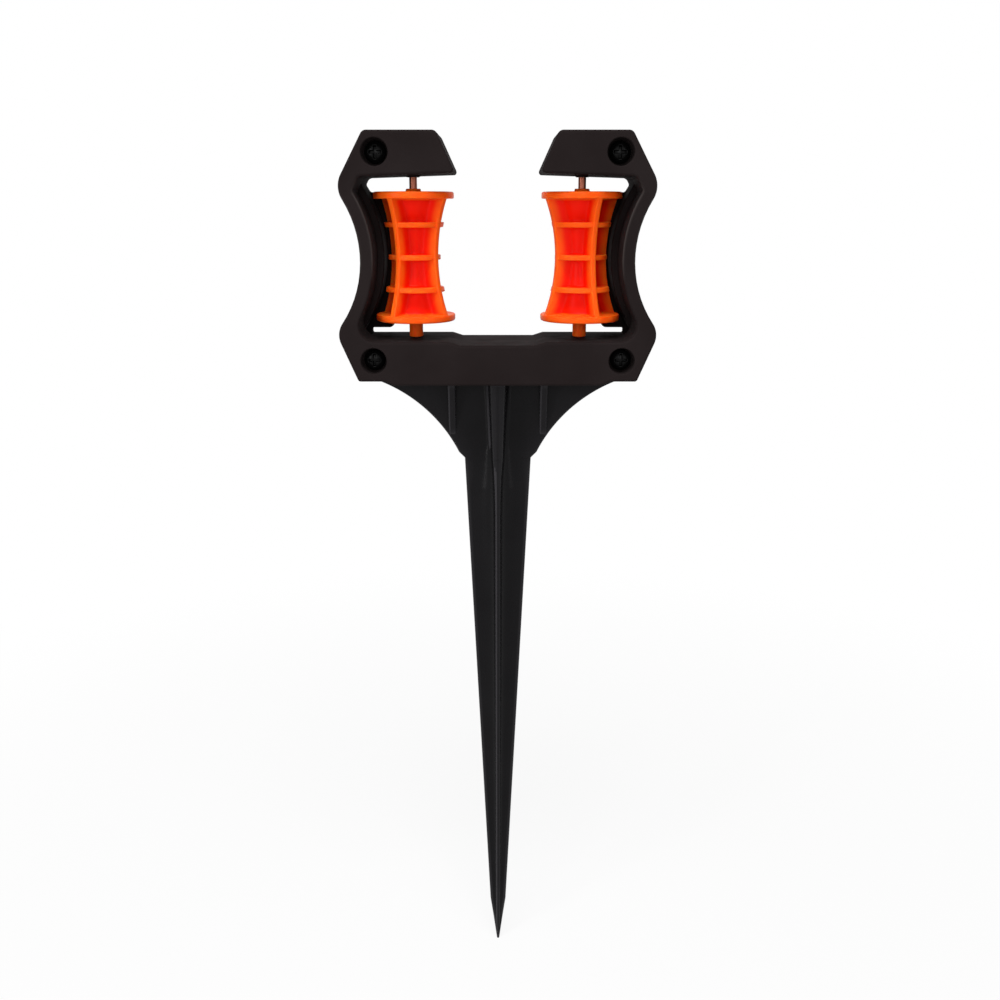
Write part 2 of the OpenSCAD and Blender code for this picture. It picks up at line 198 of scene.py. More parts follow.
def cross_rows(side, front, web, keel, side_r, keel_r, root_x, root_y):
    """Outline of a cross for each level. A quarter is the rounded end of the side blade, the hollow
    root between the blades and the rounded end of the front blade, then it is mirrored round."""
    x1, y1 = arc_rows(side - side_r, web - side_r, side_r, side_r, 0, 90, 6)
    x2, y2 = arc_rows(keel + root_x, web + root_y, root_x, root_y, 270, 180, 18)
    x3, y3 = arc_rows(keel - keel_r, front - keel_r, keel_r, keel_r, 0, 90, 8)
    x = np.hstack([x1, x2, x3])
    y = np.hstack([y1, y2, y3])
    around_x = np.hstack([x, -x[:, ::-1], -x, x[:, ::-1]])
    around_y = np.hstack([y, y[:, ::-1], -y, -y[:, ::-1]])
    return around_x, around_y


def spike_half(z):
    """Half width of the side blades, which taper evenly from the soil line to the point."""
    return (spike_w + (point_w - spike_w) * z / point_z) / 2


# Hollow edge of the gusset: an arc from the bar down to a slanted ledge, with its centre outside
gusset_high = np.array([gusset_w / 2, bar_base])
gusset_low = np.array([spike_half(-gusset_foot) + gusset_step, gusset_step - gusset_foot])
chord = gusset_low - gusset_high
reach = np.sqrt(gusset_r ** 2 - chord @ chord / 4)
away_from_chord = np.array([-chord[1], chord[0]]) / np.linalg.norm(chord)
gusset_c = (gusset_high + gusset_low) / 2 + away_from_chord * reach
gusset_ends = [np.arctan2(*(end - gusset_c)[::-1]) for end in (gusset_low, gusset_high)]
gusset_turn = np.linspace(gusset_ends[0] % (2 * np.pi), gusset_ends[1] % (2 * np.pi), 36)[1:]

# Levels of the loft, from the tip up through the point, the spike and the ledge to the gussets
point_levels = np.linspace(-spike_len, point_z, 12)
spike_levels = np.concatenate([np.linspace(point_z, -14, 22)[1:], np.linspace(-13, -gusset_foot, 8)])
ledge_levels = np.linspace(-gusset_foot, gusset_low[1], 5)[1:]
gusset_levels = np.minimum(gusset_c[1] + gusset_r * np.sin(gusset_turn), under_bar)
levels = np.concatenate([point_levels, spike_levels, ledge_levels, gusset_levels])
cone = tip_r + (point_w / 2 - tip_r) * (levels + spike_len) / point_len
in_point = levels < point_z
side = np.concatenate([
    cone[in_point], spike_half(np.concatenate([[point_z], spike_levels])),
    spike_half(-gusset_foot) + gusset_foot + ledge_levels,
    gusset_c[0] + gusset_r * np.cos(gusset_turn),
])
blade_y = (spike_depth + (point_w - spike_depth) * levels / point_z) / 2
keel_y = spike_depth / 2 + (keel_depth - spike_depth) / 2 * levels / bar_base
front = np.where(in_point, cone, np.where(levels < 0, blade_y, keel_y))
web = np.minimum(web_t / 2, web_in_point * cone)
keel = np.minimum(np.interp(levels, keel_levels, keel_half), keel_in_point * cone)
side_r = np.minimum(blade_r, blade_round * web)
keel_r = keel_round * keel
soft = np.interp(levels, soft_levels, [1, 0])


def root_radius(room):
    """Radius of the hollow root between two blades at each level: nearly the whole room between them
    on the spike, a small fillet on the gussets, and a blend of both near the soil line."""
    fillet = np.minimum(root_r, root_fill * room)
    return np.clip(soft * soft_fill * room + (1 - soft) * fillet, thinnest, None)


root_x = root_radius(side - side_r - keel)
root_y = root_radius(front - keel_r - web)

# The keel ends under the bar, and the web alone goes on as the clamped strip
thin = np.full(2, thinnest)
strip = np.full(2, web_t / 2)
cross = cross_rows(
    np.concatenate([side, np.full(2, gusset_w / 2)]),
    np.concatenate([front, strip + 3 * thin]),
    np.concatenate([web, strip]),
    np.concatenate([keel, np.full(2, keel_top_t / 2)]),
    np.concatenate([side_r, np.full(2, blade_r)]),
    np.concatenate([keel_r, thin]),
    np.concatenate([root_x, thin]),
    np.concatenate([root_y, thin]),
)
all_levels = np.concatenate([levels, [under_bar, tongue_top]])
stake_rows, stake_cols = cross[0].shape
stake_points = np.dstack([cross[0], cross[1], np.broadcast_to(all_levels[:, None], cross[0].shape)])
ring = np.arange(stake_cols)
stake_shells = [(
    stake_points.reshape(-1, 3),
    [
        (skin(stake_rows, stake_cols, close_cols=True), True),
        (ring[None, ::-1], False),
        (ring[None, :] + (stake_rows - 1) * stake_cols, False),
    ],
)]

# Braces: each grows out of the web where it leaves the gusset's edge, and is widest under the bar
brace_low = gusset_c[1] + np.sqrt(gusset_r ** 2 - (brace_x + brace_t / 2 - gusset_c[0]) ** 2)
brace_levels = np.linspace(brace_low, under_bar, brace_rows)
brace_top_y = np.linspace(web_t / 2 - brace_start, web_t / 2 + brace_out, brace_rows)
brace_root_y = np.full(brace_rows, web_t / 2 - brace_bite)
brace_r = np.full(brace_rows, brace_edge_r)
half_t = np.full(brace_rows, brace_t / 2)
tip_x, tip_y = arc_rows(half_t - brace_r, brace_top_y - brace_r, brace_r, brace_r, 0, 90, 6)
half_x = np.hstack([half_t[:, None], tip_x])
half_y = np.hstack([brace_root_y[:, None], tip_y])
brace_u = np.hstack([half_x, -half_x[:, ::-1]])
brace_v = np.hstack([half_y, half_y[:, ::-1]])
brace_w = np.broadcast_to(brace_levels[:, None], brace_u.shape)
brace_ring = np.arange(brace_u.shape[1])
brace_faces = [
    (skin(*brace_u.shape, close_cols=True), True),
    (brace_ring[None, ::-1], False),
    (brace_ring[None, :] + brace_u.size - len(brace_ring), False),
]
for across in (1, -1):
    for out in (1, -1):
        placed = np.dstack([across * (brace_x + brace_u), out * brace_v, brace_w]).reshape(-1, 3)
        turned = [(faces[:, ::across * out], soft) for faces, soft in brace_faces]
        stake_shells.append((placed, turned))

stake_plastic = moulded_plastic(
    "stake_plastic", deep=(0.005, 0.0046, 0.0052), pale=(0.0066, 0.0062, 0.0068),
    specular=0.07, rough=(0.24, 0.32), grain=0.06,
)
# Painted highlight: a lighter tone along the stake's ridges and outer edges
paint_edge_highlight(stake_plastic, tone=(0.03, 0.028, 0.031), start=0.505, end=0.56)
stake = put_together("stake_moulding", stake_shells, stake_plastic)
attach(stake, "head")
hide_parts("stake")


# Rear half of the head: a C-shaped moulding in satin black plastic. The web of the stake and the two
# axles lie in it before the front half closes over them. Its side walls are thicker than the front
# half's, and at the back a shield with a narrow foot stands behind the outer side of each roller.
half_depth = 18.0
saddle_z = 47.1
seat_z = 48.4
roller_z = 79.5
arm_base = 110.2
head_top = 125.5
crown = np.array([49.4, head_top])
base = np.array([53.9, 33.1])
crown_slope = 0.548
base_slope = 0.43
inner_crown = np.array([49.0, head_top])
inner_base = np.array([53.1, 33.1])
inner_slope = 0.48
mouth_x = 16.4
mouth_top_x = 22.6
tip_low = 0.3
tip_high = 1.8
tip_low_r = 1.1
tip_high_r = 1.6
top_r = 2.4
arm_sag = 0.9
arm_root_r = 2.2
side_wall = 4.9
rear_wall = 7.4
waist_r = 42.0
waist_c = np.array([51.8 + waist_r, roller_z])
shoulder_r = 6.5
crown_shoulder_r = 9.0
base_shoulder_r = 8.0
base_r = 1.3
skirt_x = 44.0
skirt_in_x = 40.0
skirt_r = 3.0
seat_end_x = 18.5
saddle_x = 14.5
saddle_r = 2.0
arc_steps = 15
edge_r = 1.0
seam = 0.3
parting = 0.02
skin_set = 0.01
rear_turns = np.radians([31.5, 36.5])
rear_shoulder_r = 1.6
rear_seat_r = 1.0
shield_x = 42.45
shield_y = 13.907
shield_low = 50.6
shield_high = 104.0
shield_foot_x = 51.61
shield_r = 2.2
shield_root_r = 1.2
shield_heel_r = 0.8
shield_foot_r = 0.6
axle_x = 32.5
lip_r = 2.7
lip_bore_r = 1.6
lip_h = 0.9
lip_bite = 0.4


def flank(corner, slope, down):
    """A sloping flank through a corner: the corner, the way it runs towards the waist, down or up,
    and the way into the material."""
    lean = np.hypot(slope, 1)
    return corner, np.array([slope, -down]) / lean, np.array([-1, -down * slope]) / lean


def shoulder_turn(corner, run, inward, radius):
    """Angle, seen from the waist's centre, at which a shoulder that touches the flank meets the
    waist curve: the shoulder's centre lies on the shifted flank, at both radii from that centre."""
    start = corner + radius * inward - waist_c
    along = -(run @ start) - np.sqrt((run @ start) ** 2 - start @ start + (waist_r + radius) ** 2)
    place = start + along * run
    return np.arctan2(abs(place[1]), -place[0])


outer_flanks = (flank(crown, crown_slope, 1), flank(base, base_slope, -1))
outer_turns = (
    shoulder_turn(*outer_flanks[0], crown_shoulder_r),
    shoulder_turn(*outer_flanks[1], base_shoulder_r),
)
inner_flanks = (flank(inner_crown, inner_slope, 1), flank(inner_base, inner_slope, -1))
inner_turns = [shoulder_turn(*line, shoulder_r) for line in inner_flanks]


def lines_cross(p, u, q, v):
    """Where the line through p along u meets the line through q along v."""
    share = np.linalg.solve(np.column_stack([u, -v]), q - p)
    return p + share[0] * u


level = np.array([1, 0])


def waist_line(radius, turn):
    """Tangent of the waist curve at an angle above the middle: the point it touches and its way."""
    outward = np.array([-np.cos(turn), np.sin(turn)])
    return waist_c + radius * outward, np.array([np.sin(turn), np.cos(turn)])


def side_corners(flanks, inset, radius, upper_turn, lower_turn):
    """Corners that give a side of the head once they are rounded: the two flanks, set inwards, meet
    the tangents of the waist curve, the tangents meet each other, and the lower one meets the seat."""
    upper_touch, upper_line = waist_line(radius, upper_turn)
    lower_touch, lower_line = waist_line(radius, -lower_turn)
    (upper, upper_run, upper_in), (lower, lower_run, lower_in) = flanks
    return {
        "upper": lines_cross(upper + inset * upper_in, upper_run, upper_touch, upper_line),
        "waist": lines_cross(upper_touch, upper_line, lower_touch, lower_line),
        "lower": lines_cross(lower + inset * lower_in, lower_run, lower_touch, lower_line),
        "waist_on_seat": lines_cross(lower_touch, lower_line, np.array([0, seat_z]), level),
    }


def rounded_loop(corners, radii, steps):
    """A closed loop with rounded corners. Each arc touches the two sides of its corner, and points
    that coincide where two arcs meet are left out."""
    u = np.roll(corners, 1, axis=0) - corners
    v = np.roll(corners, -1, axis=0) - corners
    u /= np.linalg.norm(u, axis=1, keepdims=True)
    v /= np.linalg.norm(v, axis=1, keepdims=True)
    half = np.arccos(np.clip((u * v).sum(axis=1), -1, 1)) / 2
    middle = (u + v) / np.linalg.norm(u + v, axis=1, keepdims=True)
    centre = corners + middle * (radii / np.sin(half))[:, None]
    first = corners + u * (radii / np.tan(half))[:, None] - centre
    last = corners + v * (radii / np.tan(half))[:, None] - centre
    start = np.arctan2(first[:, 1], first[:, 0])
    sweep = (np.arctan2(last[:, 1], last[:, 0]) - start + np.pi) % (2 * np.pi) - np.pi
    turn = start[:, None] + sweep[:, None] * np.linspace(0, 1, steps)
    arcs = centre[:, None] + radii[:, None, None] * np.dstack([np.cos(turn), np.sin(turn)])
    loop = arcs.reshape(-1, 2)
    step = np.linalg.norm(loop - np.roll(loop, 1, axis=0), axis=1)
    return loop[step > 1e-3]


def head_loop(inner_side, inner_r):
    """Outline of the C-shaped head from the front, counter-clockwise, from the right half's corners
    and their mirror images."""
    outer_side = side_corners(outer_flanks, 0, waist_r, *outer_turns)
    outer = [
        (mouth_x, arm_base + tip_low), (mouth_x, arm_base + tip_high), (mouth_top_x, head_top), crown,
        outer_side["upper"], outer_side["waist"], outer_side["lower"], base,
        (skirt_x, base[1]), (skirt_in_x, bar_base),
    ]
    outer_r = [
        tip_low_r, tip_high_r, top_r, top_r, crown_shoulder_r, waist_r, base_shoulder_r,
        base_r, skirt_r, skirt_r,
    ]
    corner, run, inward = inner_flanks[0]
    under_arm = lines_cross(corner + side_wall * inward, run, np.array([0, arm_base - arm_sag]), level)
    inner = [under_arm, *inner_side, (seat_end_x, seat_z), (saddle_x, saddle_z)]
    corner_r = [arm_root_r, *inner_r, saddle_r, saddle_r]
    right = np.array(outer)
    hollow = np.array(inner)
    flip = np.array([-1, 1])
    corners = np.vstack([right, right[::-1] * flip, hollow * flip, hollow[::-1]])
    radii = np.array(outer_r + outer_r[::-1] + corner_r + corner_r[::-1])
    return rounded_loop(corners, radii, arc_steps)[::-1]


def inward_normals(loop):
    """Mitred normals of a counter-clockwise loop: the sum of both sides' left normals, lengthened so
    that an inset keeps the same distance from both sides."""
    side = np.roll(loop, -1, axis=0) - loop
    left = np.column_stack([-side[:, 1], side[:, 0]]) / np.linalg.norm(side, axis=1, keepdims=True)
    back = np.roll(left, 1, axis=0)
    return (left + back) / (1 + (left * back).sum(axis=1, keepdims=True))


def flat_cap(loops):
    """Triangles that fill the first loop and leave out the others, counter-clockwise from the front."""
    flat = np.vstack(loops)
    filled = geometry.tessellate_polygon([[Vector((x, z, 0)) for x, z in loop] for loop in loops])
    triangles = np.array(filled)
    a, b, c = flat[triangles[:, 0]], flat[triangles[:, 1]], flat[triangles[:, 2]]
    area = (b - a)[:, 0] * (c - a)[:, 1] - (b - a)[:, 1] * (c - a)[:, 0]
    triangles[area < 0] = triangles[area < 0][:, ::-1]
    return flat, triangles


edge_turn = np.radians(np.linspace(0, 90, 8))
round_inset = edge_r * (1 - np.sin(edge_turn))
round_depth = edge_r * (1 - np.cos(edge_turn)) - half_depth


def slab_shells(loop, inset, depth, holes):
    """A slab of the head in front of the parting plane: the outline carried along a profile of insets
    and depths, from the front to the back, with flat caps. Holes are left out of the front cap."""
    wall = loop[None] + (inset[:, None, None] + skin_set) * inward_normals(loop)[None]
    rows, cols = wall.shape[:2]
    points = np.dstack([wall[:, :, 0], np.broadcast_to(depth[:, None], (rows, cols)), wall[:, :, 1]])
    face, face_triangles = flat_cap([wall[0], *holes])
    back, back_triangles = flat_cap([wall[-1]])
    return [
        (points.reshape(-1, 3), [(skin(rows, cols, close_cols=True)[:, ::-1], True)]),
        (np.insert(face, 1, depth[0], axis=1), [(face_triangles, False)]),
        (np.insert(back, 1, depth[-1], axis=1), [(back_triangles[:, ::-1], False)]),
    ]


def lip_shell(x):
    """Half a collar in front of the parting plane, round an axle under its arm: a rounded section
    carried through half a turn."""
    section = np.array([
        (lip_bore_r, lip_bite), (lip_bore_r, 0.15 - lip_h), (lip_bore_r + 0.15, -lip_h),
        (lip_r - 0.3, -lip_h), (lip_r, 0.3 - lip_h), (lip_r, lip_bite),
    ])
    turn = np.radians(np.linspace(180, 360, 25))
    r, z = section[:, 0], section[:, 1] + arm_base
    points = np.dstack([
        x + np.cos(turn)[:, None] * r, np.sin(turn)[:, None] * r - parting,
        np.broadcast_to(z, (len(turn), len(r))),
    ])
    ends = np.arange(len(r))[None, :]
    return (
        points.reshape(-1, 3),
        [
            (skin(len(turn), len(r), close_cols=True), True),
            (ends[:, ::-1], False),
            (ends + (len(turn) - 1) * len(r), False),
        ],
    )


def turned_back(shells):
    """The same shells behind the parting plane: depths change sign and faces turn over."""
    return [
        (points * (1, -1, 1), [(faces[:, ::-1], soft) for faces, soft in groups])
        for points, groups in shells
    ]


def paint_waist_highlight(material, tone, height, near, far):
    """Paints a highlight: the colour goes to a lighter tone on the head's rounded edges. Its share rises
    and falls across the rounded edges, by the distance from the parting plane, and fades with the
    distance above or below a height."""
    tree = material.node_tree
    parts = tree.nodes.new("ShaderNodeSeparateXYZ")
    tree.links.new(tree.nodes["Texture Coordinate"].outputs["Object"], parts.inputs[0])
    shares = []
    for axis, middle, start, end, values in (
        ("Y", 0.0, half_depth - edge_r, half_depth, (0.0, 2.0)),
        ("Z", height, near, far, (1.0, 0.0)),
    ):
        shift = tree.nodes.new("ShaderNodeMath")
        shift.operation = "SUBTRACT"
        shift.inputs[1].default_value = middle * MM
        away = tree.nodes.new("ShaderNodeMath")
        away.operation = "ABSOLUTE"
        share = tree.nodes.new("ShaderNodeMapRange")
        share.inputs["From Min"].default_value = start * MM
        share.inputs["From Max"].default_value = end * MM
        share.inputs["To Min"].default_value = values[0]
        share.inputs["To Max"].default_value = values[1]
        tree.links.new(parts.outputs[axis], shift.inputs[0])
        tree.links.new(shift.outputs[0], away.inputs[0])
        tree.links.new(away.outputs[0], share.inputs["Value"])
        shares.append(share.outputs["Result"])
    edge = tree.nodes.new("ShaderNodeMath")
    edge.operation = "PINGPONG"
    edge.inputs[1].default_value = 1.0
    both = tree.nodes.new("ShaderNodeMath")
    both.operation = "MULTIPLY"
    tree.links.new(shares[0], edge.inputs[0])
    tree.links.new(edge.outputs[0], both.inputs[0])
    tree.links.new(shares[1], both.inputs[1])
    blend_tone(material, both.outputs[0], tone)


frame_plastic = moulded_plastic(
    "frame_plastic", deep=(0.0125, 0.0092, 0.0092), pale=(0.0165, 0.0125, 0.0125),
    specular=0.015, rough=(0.66, 0.78), grain=0.1,
)
# Painted highlight: a lighter tone along the rounded front and back edges at the waist
paint_waist_highlight(frame_plastic, tone=(0.05, 0.043, 0.041), height=90.0, near=11.0, far=20.0)
rear_r = waist_r + rear_wall
rear_side = side_corners(inner_flanks, side_wall, rear_r, *rear_turns)
rear_inner = [rear_side["upper"], rear_side["waist"], rear_side["waist_on_seat"]]
rear_loop = head_loop(rear_inner, [rear_shoulder_r, rear_r, rear_seat_r])
shield_top = np.array([shield_x, shield_high])
shield_end = np.array([shield_x, shield_low])
shield_foot = np.array([shield_foot_x, seat_z])
shield_inner = [
    rear_side["upper"], lines_cross(*waist_line(rear_r, rear_turns[0]), shield_top, level),
    shield_top, shield_end, lines_cross(shield_end, level, shield_foot, level[::-1]), shield_foot,
]
shield_radii = [shield_root_r, shield_root_r, shield_r, shield_r, shield_heel_r, shield_foot_r]
shield_loop = head_loop(shield_inner, shield_radii)
rear_shells = slab_shells(
    shield_loop, np.append(round_inset, 0), np.append(round_depth, -shield_y), []
) + slab_shells(
    rear_loop, np.array([0, 0, seam]), np.array([-shield_y, -seam, -parting]), []
) + [lip_shell(-axle_x), lip_shell(axle_x)]
rear_frame = put_together("rear_half", turned_back(rear_shells), frame_plastic)
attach(rear_frame, "head")
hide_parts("rear_frame")


# Axles: two plain pins of steel wire, 3 mm thick with broken ends, laid upright in the sockets
# between the halves of the head. Their dark orange-brown colour is a painted reflection of the orange
# rollers and painted shade under the arms. Only a short length shows, above each roller.
axle_places = {"left": -axle_x, "right": axle_x}
axle_r = 1.5
axle_low = 39.9
axle_high = 118.7
axle_break = 0.3


def turned_shell(x, profile, cols):
    """A turned solid on an upright axis: the profile of radii and heights goes round the axis, and
    flat ends close it."""
    turn = np.linspace(0, 2 * np.pi, cols, endpoint=False)
    r, z = np.array(profile).T
    points = np.dstack([
        x + r[:, None] * np.cos(turn), r[:, None] * np.sin(turn),
        np.broadcast_to(z[:, None], (len(r), cols)),
    ])
    around = np.arange(cols)[None, :]
    return (
        points.reshape(-1, 3),
        [
            (skin(len(r), cols, close_cols=True), True),
            (around[:, ::-1], False),
            (around + (len(r) - 1) * cols, False),
        ],
    )


axle_steel_painted_tint = bpy.data.materials.new("axle_steel_painted_tint")
axle_steel_painted_tint.use_nodes = True
steel_nodes = axle_steel_painted_tint.node_tree.nodes
steel_links = axle_steel_painted_tint.node_tree.links
steel_shader = steel_nodes["Principled BSDF"]
# Painted reflection and shade: the steel's colour is tinted dark orange-brown as if reflecting the
# rollers in shade
steel_shader.inputs["Base Color"].default_value = (0.22, 0.075, 0.048, 1.0)
steel_shader.inputs["Metallic"].default_value = 1.0
steel_place = steel_nodes.new("ShaderNodeTexCoord")
draw_lines = steel_nodes.new("ShaderNodeMapping")
draw_lines.inputs["Scale"].default_value = (1.0, 1.0, 0.03)
drawn = steel_nodes.new("ShaderNodeTexNoise")
drawn.inputs["Scale"].default_value = 3500.0
steel_gloss = steel_nodes.new("ShaderNodeMapRange")
steel_gloss.inputs["To Min"].default_value = 0.22
steel_gloss.inputs["To Max"].default_value = 0.42
steel_links.new(steel_place.outputs["Object"], draw_lines.inputs["Vector"])
steel_links.new(draw_lines.outputs["Vector"], drawn.inputs["Vector"])
steel_links.new(drawn.outputs["Fac"], steel_gloss.inputs["Value"])
steel_links.new(steel_gloss.outputs["Result"], steel_shader.inputs["Roughness"])
axle_profile = [
    (axle_r - axle_break, axle_low), (axle_r, axle_low + axle_break),
    (axle_r, axle_high - axle_break), (axle_r - axle_break, axle_high),
]
for side_name, x in axle_places.items():
    axle = put_together(side_name + "_axle_pin", [turned_shell(x, axle_profile, 48)], axle_steel_painted_tint)
    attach(axle, "head")
    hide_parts(side_name + "_axle")


# Rollers: two hourglass mouldings in semi-gloss orange plastic that lets a little light through. Their
# flanges, three rings and four fins stand out from a hub that follows the hourglass, with a bore for
# the axle, a long foot on the cross bar and a low boss on top. They spin freely on the axles.
roller_h = 49.0
flange_r = 15.6
flange_t = 2.6
flange_lip = 0.4
roller_waist_r = 10.85
ring_half = 0.95
ring_pitch = 12.25
ring_set = 0.7
pocket_depth = 6.2
fin_half = 1.15
fin_round = 0.4
foot_h = 6.4
foot_r = 2.7
cap_h = 1.1
cap_r = 2.9
bore_r = 1.56
hub_least = 4.2
# Painted pocket shade: the shares of the pocket's depth over which the colour goes to a deep red, and its
# fade by the flanges
red_from = 0.16
red_to = 0.74
flange_fade = 1.0
pocket_shade_red = (0.82, 0.009, 0.0006)
fin_turn = {"left": 57, "right": 23}
flange_in = roller_h / 2 - flange_t
rise = flange_r - roller_waist_r - flange_lip
curve_r = (flange_in ** 2 + rise ** 2) / (2 * rise)


def fin_lines():
    """Lines across one quarter of a roller, from the middle of a fin to just before the next: the
    distance from the fin's middle plane, the share of the way to the next fin, how far the line lies
    below the fin's edge, and how much of the pocket's depth it has."""
    turn = np.radians([0, 30, 60, 90])
    edge = fin_half - fin_round * (1 - np.sin(turn))
    fall = fin_round * (1 - np.cos(turn))
    off = np.concatenate([[0, 0.4], edge, fin_half + np.array([0.05, 0.2, 0.6])])
    below = np.concatenate([[0, 0], fall, np.full(3, fin_round)])
    deep = np.concatenate([np.zeros(6), [0.8, 0.94, 1.0]])
    floor = np.linspace(0, 1, 9)[1:-1]
    share = np.concatenate([np.zeros(len(off)), floor, np.ones(len(off) - 1)])
    return (
        np.concatenate([off, np.full(len(floor), off[-1]), off[:0:-1]]), share,
        np.concatenate([below, np.full(len(floor), fin_round), below[:0:-1]]),
        np.concatenate([deep, np.ones(len(floor)), deep[:0:-1]]),
    )


def bay_lines():
    """Heights of the lines between the flanges, from the bottom up, and how deep each lies below the
    rings: rings are level and have round edges, pockets have a hollow at the foot of their walls."""
    depth = pocket_depth - ring_set
    step = np.array([-0.3, -0.088, 0.0, 0.08, 0.3, 0.9])
    fall = np.array([0.0, 0.088, 0.3, depth - 0.8, depth - 0.25, depth])
    middle = np.full(4, depth)
    heights = [-flange_in + step[3:]]
    falls = [fall[3:]]
    for ring_z in (-ring_pitch, 0.0, ring_pitch):
        below = ring_z - ring_half - step[::-1]
        above = ring_z + ring_half + step
        heights += [np.linspace(heights[-1][-1], below[0], 6)[1:-1], below, above]
        falls += [middle, fall[::-1], fall]
    end = flange_in - step[:2:-1]
    heights += [np.linspace(heights[-1][-1], end[0], 6)[1:-1], end]
    falls += [middle, fall[:2:-1]]
    return np.concatenate(heights), np.concatenate(falls)


def roller_shell(x, turn):
    """The whole roller as one closed grid, round the axis one way and out over foot, flanges and bays
    and back down the bore the other way. In the bays the radius is the hourglass less the fall at a
    fin's edge and less the pocket's depth; a line beside a fin keeps its distance from the fin."""
    top = roller_h / 2
    foot = -top - foot_h
    under = [
        (bore_r, foot + 0.3), (bore_r + 0.3, foot), (foot_r - 0.4, foot), (foot_r - 0.12, foot + 0.12),
        (foot_r, foot + 0.4), (foot_r, -top - 0.8), (foot_r + 0.23, -top - 0.23), (foot_r + 0.8, -top),
        (flange_r - 0.7, -top), (flange_r - 0.2, -top + 0.2), (flange_r, -top + 0.7),
        (flange_r, -flange_in - 0.4), (flange_r - 0.12, -flange_in - 0.12), (flange_r - 0.35, -flange_in),
    ]
    over = [
        (flange_r - 0.35, flange_in), (flange_r - 0.12, flange_in + 0.12), (flange_r, flange_in + 0.4),
        (flange_r, top - 0.7), (flange_r - 0.2, top - 0.2), (flange_r - 0.7, top),
        (cap_r + 0.6, top), (cap_r + 0.17, top + 0.17), (cap_r, top + 0.5), (cap_r, top + cap_h - 0.3),
        (cap_r - 0.1, top + cap_h - 0.1), (cap_r - 0.3, top + cap_h), (bore_r + 0.3, top + cap_h),
        (bore_r, top + cap_h - 0.3),
    ]
    off, share, below, deep = (np.tile(line, 4) for line in fin_lines())
    quarter = np.repeat(np.arange(4), len(off) // 4) * np.pi / 2
    height, fall = bay_lines()
    hourglass = roller_waist_r + curve_r - np.sqrt(curve_r ** 2 - height ** 2)
    bays = hourglass[:, None] - below - deep * (ring_set - fin_round + fall[:, None])
    under_r, under_z = np.array(under).T
    over_r, over_z = np.array(over).T
    plain = np.ones(len(off))
    radius = np.vstack([under_r[:, None] * plain, bays, over_r[:, None] * plain])
    rows_z = np.concatenate([under_z, height, over_z])
    lean = np.arcsin(off / np.maximum(radius, hub_least))
    angle = quarter + lean + share * (np.pi / 2 - 2 * lean) + np.radians(turn - 90)
    points = np.dstack([
        x + radius * np.cos(angle), radius * np.sin(angle),
        np.broadcast_to(roller_z + rows_z[:, None], radius.shape),
    ])
    return points.reshape(-1, 3), [(skin(*radius.shape, close_rows=True, close_cols=True), True)]


def paint_pocket_shade(material, x):
    """Paints shade into the colour: it goes to a deep red towards the pockets' floors, standing in for
    the light bounced deep in the pockets. The distance below the hourglass curve is its radius at that
    height less the distance from the roller's axis."""
    tree = material.node_tree
    place = tree.nodes["Texture Coordinate"].outputs["Object"]

    def sum_of(kind, first, second):
        step = tree.nodes.new("ShaderNodeMath")
        step.operation = kind
        for socket, value in zip(step.inputs, (first, second)):
            if isinstance(value, float):
                socket.default_value = value
            else:
                tree.links.new(value, socket)
        return step.outputs[0]

    def ramp(value, start, end):
        share = tree.nodes.new("ShaderNodeMapRange")
        share.interpolation_type = "SMOOTHSTEP"
        share.inputs["From Min"].default_value = start * MM
        share.inputs["From Max"].default_value = end * MM
        tree.links.new(value, share.inputs["Value"])
        return share.outputs["Result"]

    shift = tree.nodes.new("ShaderNodeVectorMath")
    shift.operation = "SUBTRACT"
    shift.inputs[1].default_value = (x * MM, 0.0, roller_z * MM)
    tree.links.new(place, shift.inputs[0])
    flat = tree.nodes.new("ShaderNodeVectorMath")
    flat.operation = "MULTIPLY"
    flat.inputs[1].default_value = (1.0, 1.0, 0.0)
    tree.links.new(shift.outputs["Vector"], flat.inputs[0])
    away = tree.nodes.new("ShaderNodeVectorMath")
    away.operation = "LENGTH"
    tree.links.new(flat.outputs["Vector"], away.inputs[0])
    parts = tree.nodes.new("ShaderNodeSeparateXYZ")
    tree.links.new(shift.outputs["Vector"], parts.inputs[0])
    squared = sum_of("MULTIPLY", parts.outputs["Z"], parts.outputs["Z"])
    chord = sum_of("SQRT", sum_of("SUBTRACT", (curve_r * MM) ** 2, squared), 0.0)
    hourglass = sum_of("SUBTRACT", (roller_waist_r + curve_r) * MM, chord)
    sunk = sum_of("SUBTRACT", hourglass, away.outputs["Value"])
    below = ramp(sunk, red_from * pocket_depth, red_to * pocket_depth)
    outside = ramp(sum_of("ABSOLUTE", parts.outputs["Z"], 0.0), flange_in - flange_fade, flange_in)
    blend_tone(material, sum_of("MULTIPLY", below, sum_of("SUBTRACT", 1.0, outside)), pocket_shade_red)


for side_name, x in axle_places.items():
    roller_plastic = moulded_plastic(
        side_name + "_roller_plastic", deep=(0.83, 0.088, 0.005), pale=(0.87, 0.105, 0.007),
        specular=0.06, rough=(0.3, 0.4), grain=0.04,
    )
    glow_through = roller_plastic.node_tree.nodes["Principled BSDF"].inputs
    glow_through["Subsurface Weight"].default_value = 0.5
    glow_through["Subsurface Radius"].default_value = (1.0, 0.08, 0.015)
    glow_through["Subsurface Scale"].default_value = 0.004
    # Painted shade: the colour goes to a deep red towards the pockets' floors
    paint_pocket_shade(roller_plastic, x)
    roller_shells = [roller_shell(x, fin_turn[side_name])]
    roller = put_together(side_name + "_hose_roller", roller_shells, roller_plastic)
    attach(roller, side_name + "_roller")
    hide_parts(side_name + "_roller")


